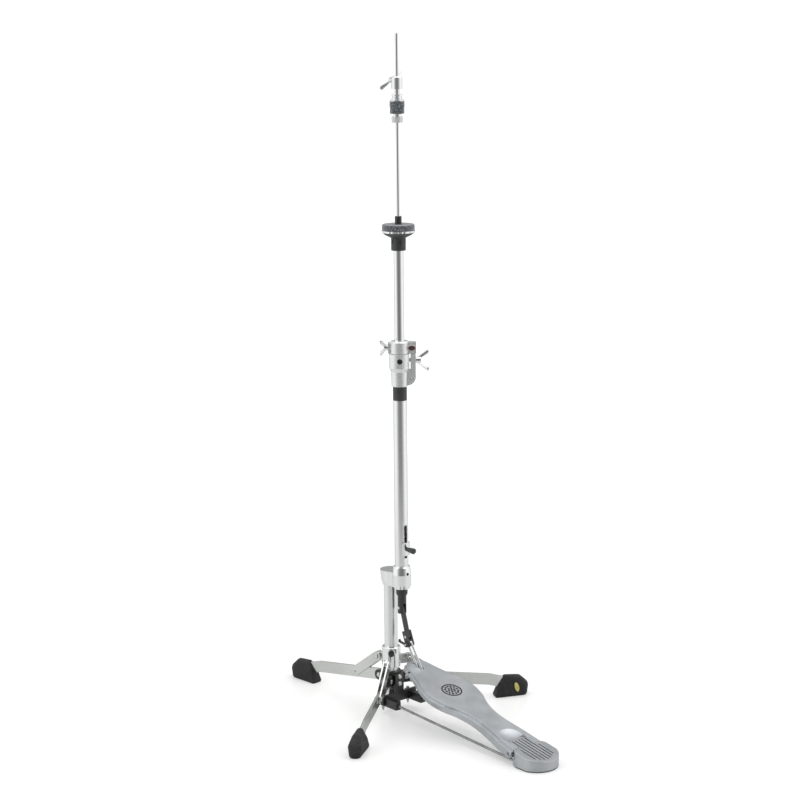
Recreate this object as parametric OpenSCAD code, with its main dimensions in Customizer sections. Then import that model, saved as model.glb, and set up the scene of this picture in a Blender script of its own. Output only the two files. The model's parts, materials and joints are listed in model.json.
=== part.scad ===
// Flat-base hi-hat stand with a direct-pull pedal, in millimetres.
// Origin: on the floor under the pull rod's axis. +Z is up and the heel of the pedal points to -Y.

/* [Heights above the floor] */
// Top of the pull rod
rod_top_z = 1110; // [1090:1:1140]
// Top face of the clutch body
clutch_top_z = 1042; // [1030:1:1050]
// Top face of the cymbal seat felt
seat_z = 811; // [800:1:820]
// Top face of the height clamp
clamp_top_z = 604; // [596:1:610]
// Underside of the offset casting
casting_z = 214; // [212:1:216]

/* [Tubes and rods] */
// Outer diameter of the lower tube and of the leg tube
lower_tube_d = 22.2; // [22:0.1:22.4]
// Outer diameter of the height tube
upper_tube_d = 15.9; // [15.6:0.1:16]
// Wall of the lower tube and of the leg tube
lower_wall = 1.5; // [1.2:0.1:1.6]
// Wall of the height tube
upper_wall = 1.3; // [1:0.1:1.6]
// Diameter of the pull rod
rod_d = 6; // [5.8:0.1:6]
// Diameter of the lower pull rod
lower_rod_d = 8; // [7.6:0.1:8]
// Distance from the pull rod's axis back to the leg tube's axis
leg_y = 28.7; // [28.5:0.1:29]

/* [Legs] */
// Compass angle of the back leg, from +X
back_leg_angle = 95; // [90:1:98]
// Height of the leg bar
leg_h = 19; // [16:1:19]
// Thickness of the leg bar
leg_t = 4; // [3.5:0.1:4]
// Height of the leg pivots above the floor
leg_pivot_z = 53; // [53:1:54]
// Distance of the leg pivots from the leg tube's axis
leg_pivot_r = 24; // [24:1:25]
// Radius from the leg tube to the middle of a foot
foot_r = 211; // [208:1:214]
// Height of a rubber foot
foot_h = 36; // [34:1:38]

/* [Pedal] */
// Slope of the footboard at rest, in degrees
board_slope = 14.3; // [14:0.1:14.6]
// Distance from the pull rod's axis back to the heel hinge
hinge_back = 285.5; // [285:0.5:286]
// Height of the heel hinge
hinge_z = 17; // [17:0.5:18]
// Length of the heel plate behind the hinge gap
heel_len = 54; // [50:1:58]
// Width of the heel plate
heel_w = 66; // [64:1:68]
// Slope of the heel plate's top, in degrees
heel_slope = 10; // [8:1:10]

/* [Cymbal seat and clutch] */
// Diameter of the seat felt
seat_felt_d = 52.4; // [46:0.5:53]
// Thickness of the seat felt
seat_felt_t = 9.6; // [9:0.2:11]
// Diameter of the clutch felts
clutch_felt_d = 24; // [22:0.5:26]

/* [Hidden] */
$fn = 64;

// Gaps: snug between pieces that stay together, running for a shaft that turns or slides in its hole
snug = 0.02;
run = 0.05;
gap = 0.4;

// Radii of the tubes and rods
tube_r = lower_tube_d / 2;
tube_bore_r = tube_r - lower_wall;
mast_r = upper_tube_d / 2;
mast_bore_r = mast_r - upper_wall;
rod_r = rod_d / 2;
lower_rod_r = lower_rod_d / 2;

// Levels along the main axis
rod_joint_z = 420;
rod_socket = 16;
rod_bottom_z = casting_z - 24;
mast_bottom_z = 440;
mast_top_z = seat_z - 35;
tube_top_z = clamp_top_z - 76;
clamp_h = 53;
lock_h = 20;

// Compass directions of the clamps and screws round the main axis
player_side = -90;
clamp_side = -40;
clutch_screw_side = 75;
collar_screw_side = -130;

// Legs and struts: pivots in the upright plane of each leg, as [radius, height]
LEG_ANGLES = [back_leg_angle, back_leg_angle + 120, back_leg_angle - 120];
LEG_PIVOT = [leg_pivot_r, leg_pivot_z];
STRUT_TOP = [leg_pivot_r + 6, leg_pivot_z + 31];
STRUT_FOOT = [leg_pivot_r + 60, leg_pivot_z - 8.7];
leg_drop = atan2(LEG_PIVOT[1] - STRUT_FOOT[1], STRUT_FOOT[0] - LEG_PIVOT[0]);
strut_drop = atan2(STRUT_TOP[1] - STRUT_FOOT[1], STRUT_FOOT[0] - STRUT_TOP[0]);
strut_len = norm(STRUT_FOOT - STRUT_TOP);
leg_kink_at = 148;
leg_kink = 8;
leg_end = 43;
rivet_r = 2.5;
strut_t = 2.5;
strut_w = 16;
lug_t = 4;

// Collar that slides on the leg tube
collar_z = leg_pivot_z + 21;
collar_h = 34;
collar_r = 15.5;

// Footboard, in a frame at the heel hinge: Y runs up the board and Z is square to it
deck_z = 10.5;
deck_t = 4;
ledge_w = 4;
board_end = 272.5;
TOE_PIN = [250.9, 5.5];
pin_r = 1.8;
hinge_pin_r = 3;
hinge_boss_r = 6.5;
tongue_w = 32;
tongue_len = 25.5;
// Half-widths of the deck: [distance from the hinge, half-width]
DECK = [[-5.5, 28.5], [25, 26.5], [58, 22.3], [90, 21.5], [122, 28.8], [145, 39.5], [173, 44.5],
        [199, 40], [224, 30], [246, 23.5], [262, 19.5], [270, 14], [board_end, 8]];

// Heel plate, from its front edge
heel_front_y = -(hinge_back + 9.5);
heel_front_z = hinge_z + 9;
heel_round_r = 35;
heel_wall = 3.5;
pad_t = 1.5;
groove_pitch = 6.4;
groove_w = 2.6;
groove_depth = 1.6;

// Pull linkage: pins in the plane x = 0, as [y, z]
UPPER_PIN = [0, casting_z - 33];
LOWER_PIN = [-14, casting_z - 80];
yoke_lean = -22;
loop_pin_drop = 12.5;
LOOP_PIN = LOWER_PIN + loop_pin_drop * [sin(yoke_lean), -cos(yoke_lean)];
TOE = [-hinge_back + TOE_PIN[0] * cos(board_slope) - TOE_PIN[1] * sin(board_slope),
       hinge_z + TOE_PIN[0] * sin(board_slope) + TOE_PIN[1] * cos(board_slope)];
link_pin_r = 2.2;
link_t = 5;
loop_wire_r = 1.9;
loop_r = 4.5;

// Return spring and its seat
seat_block_z = 273;
seat_block_h = 18;
spring_bottom_z = seat_block_z + seat_block_h + 0.3;
spring_top_z = 352.7;
spring_coil_r = 6.9;
spring_wire_r = 0.9;
spring_turns = 8;
knob_z = 282;
slot_bottom_z = 266;
slot_top_z = 322;
slot_w = 6.2;

// Base frame
frame_y = 8;
frame_t = 4;
frame_low_z = 17;
rail_x = 27;
ROD_FRONT = [-14, 22];
ROD_HEEL = [heel_front_y - 5.5, 7.3];
radius_rod_r = 2;

CHROME = "gainsboro";
STEEL = "silver";
CAST = "slategray";
BLACK = "dimgray";
FELT = "gray";
RUBBER = "darkslategray";

// ---------- shared shapes ----------

module tube(outer, inner, h) {
    difference() {
        cylinder(r = outer, h = h);
        translate([0, 0, -1]) cylinder(r = inner, h = h + 2);
    }
}

module bar_x(r, l) {
    rotate([0, 90, 0]) cylinder(r = r, h = l, center = true);
}

module bar_y(r, l) {
    rotate([90, 0, 0]) cylinder(r = r, h = l, center = true);
}

module block(size) {
    translate([-size[0] / 2, -size[1] / 2, 0]) cube(size);
}

// A ring of shallow flutes round a turned part
module flutes(r, h, count) {
    for (i = [0 : count - 1]) rotate([0, 0, i * 360 / count]) translate([r + 0.4, 0, -1])
        cylinder(r = 0.9, h = h + 2, $fn = 16);
}

// Two wings that rise from a hub whose axis is X, spread across Y
module wings(reach, rise, root_r, tip_r, t) {
    for (s = [-1, 1]) hull() {
        translate([0, s * root_r, 0]) rotate([0, 90, 0]) cylinder(r = t / 2, h = 5, $fn = 24);
        translate([rise, s * reach, 0]) rotate([0, 90, 0]) cylinder(r = tip_r, h = t, $fn = 32);
    }
}

module on_leg_tube() {
    translate([0, leg_y, 0]) children();
}

module at_leg(i) {
    on_leg_tube() rotate([0, 0, LEG_ANGLES[i]]) children();
}

module in_board() {
    translate([0, -hinge_back, hinge_z]) rotate([board_slope, 0, 0]) children();
}

module at_pin(p, lean) {
    translate([0, p[0], p[1]]) rotate([lean, 0, 0]) children();
}

// Smooth curve through stations [x, y], used for the footboard's sides
function grade(P, i) = let (a = max(i - 1, 0), b = min(i + 1, len(P) - 1))
    (P[b][1] - P[a][1]) / (P[b][0] - P[a][0]);
function hermite(P, i, t) = let (h = P[i + 1][0] - P[i][0])
    (2 * t ^ 3 - 3 * t ^ 2 + 1) * P[i][1] + (t ^ 3 - 2 * t ^ 2 + t) * h * grade(P, i)
    + (3 * t ^ 2 - 2 * t ^ 3) * P[i + 1][1] + (t ^ 3 - t ^ 2) * h * grade(P, i + 1);
function side_curve(P, n) = concat(
    [for (i = [0 : len(P) - 2], k = [0 : n - 1])
        [P[i][0] + (P[i + 1][0] - P[i][0]) * k / n, hermite(P, i, k / n)]],
    [P[len(P) - 1]]);
function reversed(L) = [for (i = [len(L) - 1 : -1 : 0]) L[i]];

module board_outline(extra) {
    side = side_curve(DECK, 3);
    polygon(concat([for (p = side) [p[1] + extra, p[0]]], [for (p = reversed(side)) [-p[1] - extra, p[0]]]));
}

// ---------- pull rod and clutch ----------

module pull_rod() {
    color(CHROME) union() {
        translate([0, 0, rod_joint_z - rod_socket])
            cylinder(r = rod_r, h = rod_top_z - rod_r - rod_joint_z + rod_socket);
        translate([0, 0, rod_top_z - rod_r]) sphere(r = rod_r);
    }
}

module lower_pull_rod() {
    color(STEEL) difference() {
        translate([0, 0, rod_bottom_z]) cylinder(r = lower_rod_r, h = rod_joint_z - rod_bottom_z);
        translate([0, 0, rod_joint_z - rod_socket - 0.2]) cylinder(r = rod_r + snug, h = rod_socket + 1);
    }
}

module spring_collar() {
    color(STEEL) translate([0, 0, spring_top_z + 0.3]) tube(tube_bore_r - 0.6, lower_rod_r + snug, 8);
}

clutch_body_h = 20;
sleeve_r = 5;
clutch_stack_z = clutch_top_z - clutch_body_h;
clutch_screw_z = clutch_top_z - 6.5;

module clutch_body() {
    color(CHROME) difference() {
        union() {
            translate([0, 0, clutch_stack_z]) cylinder(r = 8.7, h = clutch_body_h - 2);
            translate([0, 0, clutch_top_z - 2]) cylinder(r1 = 8.7, r2 = 7.4, h = 2);
            translate([0, 0, clutch_top_z - 72]) cylinder(r = sleeve_r, h = 72 - clutch_body_h);
        }
        translate([0, 0, clutch_top_z - 80]) cylinder(r = rod_r + run, h = 90);
        translate([0, 0, clutch_screw_z]) rotate([0, 0, clutch_screw_side]) rotate([0, 90, 0])
            cylinder(r = 2.5 + run, h = 20);
    }
}

module clutch_wing_screw() {
    color(CHROME) translate([0, 0, clutch_screw_z]) rotate([0, 0, clutch_screw_side])
        rotate([-36, 0, 0]) union() {
        translate([rod_r + 0.5, 0, 0]) rotate([0, 90, 0]) cylinder(r = 2.5, h = 14);
        translate([12, 0, 0]) rotate([0, 90, 0]) cylinder(r = 4.6, h = 9);
        translate([15, 0, 0]) wings(20, 5, 3, 3.2, 2.4);
    }
}

lock_nut_z = clutch_top_z - 36.1;

module clutch_lock_nut() {
    color(CHROME) translate([0, 0, lock_nut_z]) difference() {
        rotate_extrude()
            polygon([[sleeve_r + run, 0], [8.5, 0], [8.5, 3.4], [7.2, 3.9],
            [7.2, 4.9], [8.5, 5.4], [8.5, 8.6], [sleeve_r + run, 8.6]]);
        for (z = [1.8, 6.9]) rotate([0, 0, collar_screw_side]) translate([sleeve_r + 1, 0, z])
            rotate([0, 90, 0]) cylinder(r = 1.1, h = 6);
    }
}

module clutch_washer() {
    color(CHROME) translate([0, 0, lock_nut_z - 2.3]) tube(11.5, sleeve_r + snug, 2);
}

module clutch_felt_upper() {
    color(FELT) translate([0, 0, lock_nut_z - 13.5]) tube(clutch_felt_d / 2, sleeve_r + 0.2, 11.2);
}

module clutch_felt_lower() {
    color(FELT) translate([0, 0, lock_nut_z - 21.9]) tube(clutch_felt_d / 2 - 0.3, sleeve_r + 0.2, 8.2);
}

module clutch_bottom_nut() {
    color(CHROME) translate([0, 0, lock_nut_z - 35.4]) difference() {
        union() {
            cylinder(r = 9, h = 9.2);
            cylinder(r = 6.4, h = 13.2);
        }
        translate([0, 0, -1]) cylinder(r = sleeve_r + run, h = 20);
        flutes(9, 9.2, 24);
    }
}

// ---------- height tube and cymbal seat ----------

module upper_tube() {
    color(CHROME) translate([0, 0, mast_bottom_z]) tube(mast_r, mast_bore_r, mast_top_z - mast_bottom_z);
}

seat_face_z = seat_z - seat_felt_t;
cup_top_z = seat_face_z - 3;
stem_r = 5.5;

module seat_cup() {
    color(BLACK) difference() {
        union() {
            translate([0, 0, cup_top_z - 28.6]) cylinder(r = 11.7, h = 20);
            translate([0, 0, cup_top_z - 8.7]) cylinder(r1 = 12.2, r2 = 21.5, h = 4.7);
            translate([0, 0, cup_top_z - 4]) cylinder(r1 = 21.5, r2 = 24.5, h = 2.5);
            translate([0, 0, cup_top_z - 1.5]) cylinder(r = 24.5, h = 1.5);
        }
        translate([0, 0, cup_top_z - 40]) cylinder(r = mast_r + snug, h = mast_top_z - cup_top_z + 40);
        translate([0, 0, cup_top_z - 30]) cylinder(r = stem_r + snug, h = 40);
        for (i = [0 : 5]) rotate([0, 0, i * 60]) translate([11.6, 0, cup_top_z - 17]) block([1.6, 4, 6]);
    }
}

module seat_washer() {
    color(CHROME) translate([0, 0, cup_top_z]) difference() {
        tube(26.6, stem_r + snug, 3);
        for (i = [0 : 15]) rotate([0, 0, i * 22.5]) translate([31.2, 0, -1]) cylinder(r = 5.4, h = 5);
    }
}

module seat_felt() {
    color(FELT) translate([0, 0, seat_face_z]) tube(seat_felt_d / 2, stem_r + 0.2, seat_felt_t);
}

module seat_stem() {
    color(CHROME) difference() {
        union() {
            translate([0, 0, mast_top_z]) cylinder(r = stem_r, h = seat_z + 12 - mast_top_z);
            translate([0, 0, seat_z + 12]) cylinder(r1 = stem_r, r2 = stem_r - 1, h = 1);
        }
        translate([0, 0, mast_top_z - 1]) cylinder(r = rod_r + run, h = 80);
    }
}

// ---------- memory lock and height clamp ----------

lock_z = clamp_top_z + gap;
lock_screw_z = lock_z + 9;

module memory_lock_ring() {
    color(CHROME) difference() {
        union() {
            translate([0, 0, lock_z]) cylinder(r = 15.2, h = lock_h - 2);
            translate([0, 0, lock_z + lock_h - 2]) cylinder(r1 = 15.2, r2 = 13.2, h = 2);
            rotate([0, 0, clamp_side]) {
                translate([0, -8, lock_z]) cube([22.5, 16, lock_h - 1.6]);
                translate([22.5, 0, lock_z]) cylinder(r = 4, h = lock_h - 1.6);
                translate([8, -4, lock_z]) cube([18.5, 8, lock_h - 1.6]);
                // Plain oval badge on the side of the lug
                for (x = [-2, 2]) translate([19.4 + x, -8.8, lock_z + lock_h / 2 - 0.5]) bar_y(4.2, 3.2);
                translate([17.4, -10.4, lock_z + lock_h / 2 - 4.7]) cube([4, 3.2, 8.4]);
            }
            rotate([0, 0, clamp_side + 180]) translate([0, -6.5, lock_z + 1]) cube([18.6, 13, 16]);
        }
        translate([0, 0, lock_z - 1]) cylinder(r = mast_r + run, h = lock_h + 2);
        rotate([0, 0, clamp_side]) translate([6, -0.9, lock_z - 1]) cube([11, 1.8, lock_h + 2]);
        rotate([0, 0, clamp_side + 180]) translate([0, 0, lock_screw_z]) rotate([0, 90, 0])
            cylinder(r = 3 + run, h = 30);
    }
}

module memory_lock_wing_screw() {
    color(CHROME) rotate([0, 0, clamp_side + 180]) translate([0, 0, lock_screw_z])
        rotate([50, 0, 0]) union() {
        translate([mast_r + 0.4, 0, 0]) rotate([0, 90, 0]) cylinder(r = 3, h = 12);
        translate([18.9, 0, 0]) rotate([0, 90, 0]) cylinder(r = 4.8, h = 6);
        translate([20.5, 0, 0]) wings(15, 8.5, 3.2, 3.4, 2.6);
    }
}

clamp_z = clamp_top_z - clamp_h;
clamp_bolt_z = clamp_top_z - 11;
bush_r = tube_r + 0.15;

module height_clamp() {
    flare_z = clamp_top_z - 29;
    color(CHROME) difference() {
        union() {
            translate([0, 0, clamp_z]) cylinder(r1 = 13.4, r2 = 14.3, h = flare_z - clamp_z);
            translate([0, 0, flare_z]) cylinder(r1 = 14.3, r2 = 17.4, h = 6);
            translate([0, 0, flare_z + 6]) cylinder(r = 17.4, h = 23);
            rotate([0, 0, clamp_side]) {
                translate([0, -8.5, clamp_z + 16]) cube([25.6, 17, clamp_h - 16]);
                translate([11.6, 0, clamp_z + 16]) bar_y(14, 17);
            }
        }
        translate([0, 0, clamp_z - 1]) cylinder(r = bush_r + snug, h = clamp_h + 2);
        rotate([0, 0, clamp_side]) {
            translate([15.4, -20, clamp_top_z - 27]) cube([2.2, 40, 40]);
            translate([15.6, 0, clamp_z + 13]) bar_y(1.8, 60);
            translate([bush_r + 0.6, 0, clamp_bolt_z]) rotate([0, 90, 0]) cylinder(r = 3 + snug, h = 30);
        }
        rotate([0, 0, collar_screw_side]) translate([0, 0, clamp_bolt_z]) {
            rotate([0, 90, 0]) cylinder(r = 2.5 + snug, h = 30);
            translate([15, 0, 0]) rotate([0, 90, 0]) cylinder(r = 4.4, h = 10);
        }
    }
}

module clamp_bolt() {
    color(STEEL) rotate([0, 0, clamp_side]) translate([bush_r + 1, 0, clamp_bolt_z])
        rotate([0, 90, 0]) cylinder(r = 3, h = 21);
}

module clamp_wing_nut() {
    color(CHROME) rotate([0, 0, clamp_side]) translate([0, 0, clamp_bolt_z]) rotate([56, 0, 0])
        difference() {
        union() {
            translate([26, 0, 0]) rotate([0, 90, 0]) cylinder(r = 5, h = 8);
            translate([28, 0, 0]) wings(15, 16, 3.4, 4, 2.6);
        }
        translate([25, 0, 0]) rotate([0, 90, 0]) cylinder(r = 3 + run, h = 8.4);
    }
}

module tube_bushing() {
    color(BLACK) difference() {
        union() {
            translate([0, 0, tube_top_z]) cylinder(r = bush_r, h = clamp_top_z - 2 - tube_top_z);
            translate([0, 0, tube_top_z - 24]) cylinder(r = tube_bore_r - snug, h = 25);
        }
        translate([0, 0, tube_top_z - 40]) cylinder(r = mast_r + run, h = 130);
    }
}

// Socket screw whose tip points to -X and whose head ends at the origin
module set_screw(l) {
    difference() {
        translate([-l, 0, 0]) rotate([0, 90, 0]) cylinder(r = 2.5, h = l);
        translate([-2, 0, 0]) rotate([0, 90, 0]) cylinder(r = 1.3, h = 4, $fn = 6);
    }
}

casting_screw_z = casting_z + 26;
leg_screw_z = casting_z + 14;

module set_screws() {
    color(BLACK) union() {
        rotate([0, 0, collar_screw_side]) translate([17.2, 0, clamp_bolt_z]) difference() {
            union() {
                translate([-5.5, 0, 0]) rotate([0, 90, 0]) cylinder(r = 2.5, h = 5);
                translate([-2, 0, 0]) rotate([0, 90, 0]) cylinder(r = 3.9, h = 2);
            }
            translate([-1.6, 0, 0]) rotate([0, 90, 0]) cylinder(r = 1.7, h = 4, $fn = 6);
        }
        rotate([0, 0, player_side]) translate([14.9, 0, casting_screw_z]) set_screw(3.7);
        on_leg_tube() rotate([0, 0, -player_side]) translate([15.4, 0, leg_screw_z]) set_screw(4.2);
    }
}

// ---------- lower tube and spring ----------

module lower_tube() {
    color(CHROME) difference() {
        translate([0, 0, casting_z + 2]) tube(tube_r, tube_bore_r, tube_top_z - casting_z - 2);
        translate([-slot_w / 2, -20, slot_bottom_z + slot_w / 2])
            cube([slot_w, 20, slot_top_z - slot_bottom_z - slot_w]);
        for (z = [slot_bottom_z + slot_w / 2, slot_top_z - slot_w / 2]) translate([0, 0, z])
            rotate([90, 0, 0]) cylinder(r = slot_w / 2, h = 20);
    }
}

module rod_guide_bush() {
    color(BLACK) translate([0, 0, casting_z + 2]) tube(tube_bore_r - snug, lower_rod_r + run, 14);
}

// A closed tube swept along the coil, with the end turns drawn together as a ground spring has them
module return_spring() {
    steps = 20;
    sides = 6;
    count = spring_turns * steps;
    low = spring_bottom_z + spring_wire_r;
    rise = spring_top_z - spring_bottom_z - 2 * spring_wire_r;
    ring = [for (i = [0 : count], k = [0 : sides - 1])
        let (a = i * 360 / steps, q = k * 360 / sides, r = spring_coil_r + spring_wire_r * cos(q))
        [r * cos(a), r * sin(a), low + rise * i / count + spring_wire_r * sin(q)]];
    walls = [for (i = [0 : count - 1], k = [0 : sides - 1])
        let (n = (k + 1) % sides)
        [i * sides + k, (i + 1) * sides + k, (i + 1) * sides + n, i * sides + n]];
    first = [for (k = [0 : sides - 1]) k];
    last = [for (k = [sides - 1 : -1 : 0]) count * sides + k];
    color(STEEL) polyhedron(points = ring, faces = concat(walls, [first, last]));
}

module spring_seat_block() {
    color(BLACK) translate([0, 0, seat_block_z]) difference() {
        cylinder(r = tube_bore_r - 0.3, h = seat_block_h);
        translate([0, 0, -1]) cylinder(r = lower_rod_r + gap, h = seat_block_h + 2);
        translate([0, 0, knob_z - seat_block_z]) rotate([90, 0, 0]) cylinder(r = 2.7 + run, h = 20);
    }
}

module spring_saddle() {
    color(CHROME) translate([0, 0, knob_z - 11]) difference() {
        tube(tube_r + 3, tube_r + run, 22);
        for (s = [-1, 1]) rotate([0, 0, player_side + s * 140]) translate([-1, -30, -1]) cube([40, 60, 24]);
        for (s = [-1, 1]) rotate([0, 0, player_side + s * 128]) translate([0, -30, -1]) cube([40, 60, 24]);
        translate([0, 0, 11]) rotate([90, 0, 0]) cylinder(r = 2.7 + run, h = 30);
    }
}

module adjuster_knob() {
    color(BLACK) translate([0, 0, knob_z]) rotate([90, 0, 0]) union() {
        translate([0, 0, lower_rod_r + 1]) cylinder(r = 2.7, h = 16);
        translate([0, 0, tube_r + 3.4]) rotate_extrude()
            polygon([[0, 0], [3.4, 0], [3.4, 4], [4, 5], [4.8, 14], [4.8, 16], [4.2, 17], [0, 17]]);
    }
}

// ---------- offset casting, leg tube and hub ----------

module offset_casting() {
    leg_top = 26;
    color(CHROME) difference() {
        union() {
            translate([0, 0, casting_z]) cylinder(r1 = 13.4, r2 = 15.3, h = 6);
            translate([0, 0, casting_z + 6]) cylinder(r = 15.3, h = 18);
            translate([0, 0, casting_z + 24]) cylinder(r1 = 15.3, r2 = 14, h = 12);
            translate([0, 0, casting_z + 36]) cylinder(r1 = 14, r2 = 12.6, h = 2);
            on_leg_tube() translate([0, 0, casting_z]) cylinder(r1 = 12.4, r2 = 15, h = 8);
            on_leg_tube() translate([0, 0, casting_z + 8]) cylinder(r1 = 15, r2 = 17, h = leg_top - 8);
            translate([-12.6, 0, casting_z + 2]) cube([25.2, leg_y, leg_top - 2]);
        }
        translate([0, 0, casting_z + 2]) cylinder(r = tube_r + snug, h = 60);
        translate([0, 0, casting_z - 1]) cylinder(r = tube_bore_r, h = 10);
        on_leg_tube() translate([0, 0, casting_z - 1]) cylinder(r = tube_r + snug, h = leg_top - 2);
        rotate([0, 0, player_side]) translate([tube_r, 0, casting_screw_z]) rotate([0, 90, 0])
            cylinder(r = 2.5 + snug, h = 10);
        on_leg_tube() rotate([0, 0, -player_side]) translate([tube_r, 0, leg_screw_z]) rotate([0, 90, 0])
            cylinder(r = 2.5 + snug, h = 10);
    }
}

leg_top_rise = 22.8;

module leg_tube() {
    color(CHROME) on_leg_tube() translate([0, 0, 14])
        tube(tube_r, tube_bore_r, casting_z + leg_top_rise - 14);
}

hub_low_z = leg_pivot_z - 13;
hub_h = 26;
ear_gap = leg_t + 0.8;

module leg_hub() {
    color(BLACK) difference() {
        union() {
            on_leg_tube() translate([0, 0, hub_low_z]) cylinder(r = 16.4, h = hub_h);
            translate([-9, frame_y + frame_t, hub_low_z + 2]) cube([18, 8, 22]);
            for (i = [0 : 2]) at_leg(i) translate([0, 0, leg_pivot_z]) {
                translate([leg_pivot_r, 0, 0]) bar_y(9, ear_gap + 8);
                translate([8, -ear_gap / 2 - 4, -9]) cube([leg_pivot_r - 8, ear_gap + 8, 18]);
            }
        }
        on_leg_tube() translate([0, 0, hub_low_z - 1]) cylinder(r = tube_r + snug, h = hub_h + 2);
        for (i = [0 : 2]) at_leg(i) {
            translate([13.2, -ear_gap / 2, hub_low_z - 5]) cube([40, ear_gap, hub_h + 10]);
            translate([leg_pivot_r, 0, leg_pivot_z]) bar_y(rivet_r + snug, 40);
        }
        for (z = [hub_low_z + 7, hub_low_z + 19]) translate([0, frame_y + 9, z]) bar_y(2 + snug, 14);
    }
}

// Rivet along Y with a domed head on each side
module rivet(grip) {
    union() {
        bar_y(rivet_r, grip);
        for (s = [-1, 1]) rotate([s * 90, 0, 0]) translate([0, 0, grip / 2])
            cylinder(r1 = 4.2, r2 = 3, h = 1.4);
    }
}

module hub_rivets() {
    color(STEEL) for (i = [0 : 2]) at_leg(i) translate([leg_pivot_r, 0, leg_pivot_z]) rivet(ear_gap + 8);
}

module leg_collar() {
    color(CHROME) difference() {
        union() {
            on_leg_tube() translate([0, 0, collar_z]) cylinder(r = collar_r, h = collar_h - 1);
            on_leg_tube() translate([0, 0, collar_z + collar_h - 1])
                cylinder(r1 = collar_r, r2 = collar_r - 1, h = 1);
            for (i = [0 : 2]) at_leg(i) {
                translate([12, -lug_t / 2, collar_z + 2]) cube([STRUT_TOP[0] - 12, lug_t, 16]);
                translate([STRUT_TOP[0], 0, STRUT_TOP[1]]) bar_y(8, lug_t);
            }
            on_leg_tube() rotate([0, 0, collar_screw_side]) translate([0, 0, collar_z + 26])
                rotate([0, 90, 0]) cylinder(r = 6, h = 18);
        }
        on_leg_tube() translate([0, 0, collar_z - 1]) cylinder(r = tube_r + run, h = collar_h + 2);
        for (i = [0 : 2]) at_leg(i) translate([STRUT_TOP[0], 0, STRUT_TOP[1]]) bar_y(rivet_r + snug, 20);
        on_leg_tube() rotate([0, 0, collar_screw_side]) translate([0, 0, collar_z + 26])
            rotate([0, 90, 0]) cylinder(r = 3 + run, h = 30);
    }
}

module collar_rivets() {
    color(STEEL) for (i = [0 : 2]) at_leg(i) translate([STRUT_TOP[0], 0, STRUT_TOP[1]])
        rivet(lug_t + 2 * (strut_t + gap) + 0.6);
}

module collar_screw() {
    color(BLACK) on_leg_tube() rotate([0, 0, collar_screw_side]) translate([0, 0, collar_z + 26]) union() {
        translate([tube_r + 0.4, 0, 0]) rotate([0, 90, 0]) cylinder(r = 3, h = 8);
        translate([18.4, 0, 0]) rotate([0, 90, 0]) cylinder(r = 5, h = 3.5);
        translate([21.9, 0, 0]) rotate([0, 90, 0]) cylinder(r = 3.6, h = 5, $fn = 4);
    }
}

// ---------- legs, struts and feet ----------

module leg(i) {
    color(CHROME) at_leg(i) translate([leg_pivot_r, 0, leg_pivot_z]) rotate([0, leg_drop, 0]) difference() {
        union() {
            bar_y(leg_h / 2, leg_t);
            translate([0, -leg_t / 2, -leg_h / 2]) cube([leg_kink_at, leg_t, leg_h]);
            translate([leg_kink_at, 0, 0]) bar_y(leg_h / 2, leg_t);
            translate([leg_kink_at, 0, 0]) rotate([0, leg_kink, 0])
                translate([0, -leg_t / 2, -leg_h / 2]) cube([leg_end, leg_t, leg_h]);
        }
        bar_y(rivet_r + run, 20);
        // Long hole under the strut, where the fold is left open
        translate([norm(STRUT_FOOT - LEG_PIVOT), 0, 0]) {
            for (s = [-1, 1]) translate([s * 4.6, 0, 0]) bar_y(3.9, 20);
            translate([-4.6, -10, -3.9]) cube([9.2, 20, 7.8]);
        }
    }
}

module strut(i) {
    side_y = lug_t / 2 + gap;
    color(STEEL) at_leg(i) translate([STRUT_TOP[0], 0, STRUT_TOP[1]]) rotate([0, strut_drop, 0]) {
        for (s = [-1, 1]) difference() {
            union() {
                for (x = [0, strut_len]) translate([x, s * (side_y + strut_t / 2), 0])
                    bar_y(strut_w / 2, strut_t);
                translate([0, s * (side_y + strut_t / 2) - strut_t / 2, -strut_w / 2])
                    cube([strut_len, strut_t, strut_w]);
            }
            bar_y(rivet_r + run, 30);
            translate([strut_len, 0, 0]) bar_y(rivet_r + snug, 30);
        }
        translate([strut_len, 0, 0]) rivet(2 * (side_y + strut_t));
    }
}

module foot(i) {
    color(RUBBER) at_leg(i) difference() {
        hull() {
            translate([foot_r + 17, 0, 0]) cylinder(r1 = 8.5, r2 = 10, h = 3, $fn = 40);
            translate([foot_r + 17, 0, 16]) sphere(r = 11.5, $fn = 32);
            translate([foot_r + 10, 0, foot_h - 9]) sphere(r = 8, $fn = 28);
            translate([foot_r - 12, 0, foot_h - 5]) sphere(r = 6, $fn = 28);
            for (s = [-1, 1]) {
                translate([foot_r - 28, s * 7, 0]) cylinder(r1 = 2.5, r2 = 3.5, h = 3, $fn = 24);
                translate([foot_r - 22, s * 5.5, 16]) sphere(r = 4, $fn = 20);
            }
        }
        translate([leg_pivot_r, 0, leg_pivot_z]) rotate([0, leg_drop, 0]) translate([leg_kink_at, 0, 0])
            rotate([0, leg_kink, 0]) translate([0, -leg_t / 2 - snug, -leg_h / 2 - snug])
                cube([leg_end + snug, leg_t + 2 * snug, leg_h + 2 * snug]);
    }
}

module leg_back() { leg(0); }
module leg_left() { leg(1); }
module leg_right() { leg(2); }
module foot_back() { foot(0); }
module foot_left() { foot(1); }
module foot_right() { foot(2); }
module strut_back() { strut(0); }
module strut_left() { strut(1); }
module strut_right() { strut(2); }

// ---------- base frame and radius rods ----------

rod_fall = atan2(ROD_FRONT[1] - ROD_HEEL[1], ROD_FRONT[0] - ROD_HEEL[0]);
rod_len = norm(ROD_FRONT - ROD_HEEL);

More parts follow.
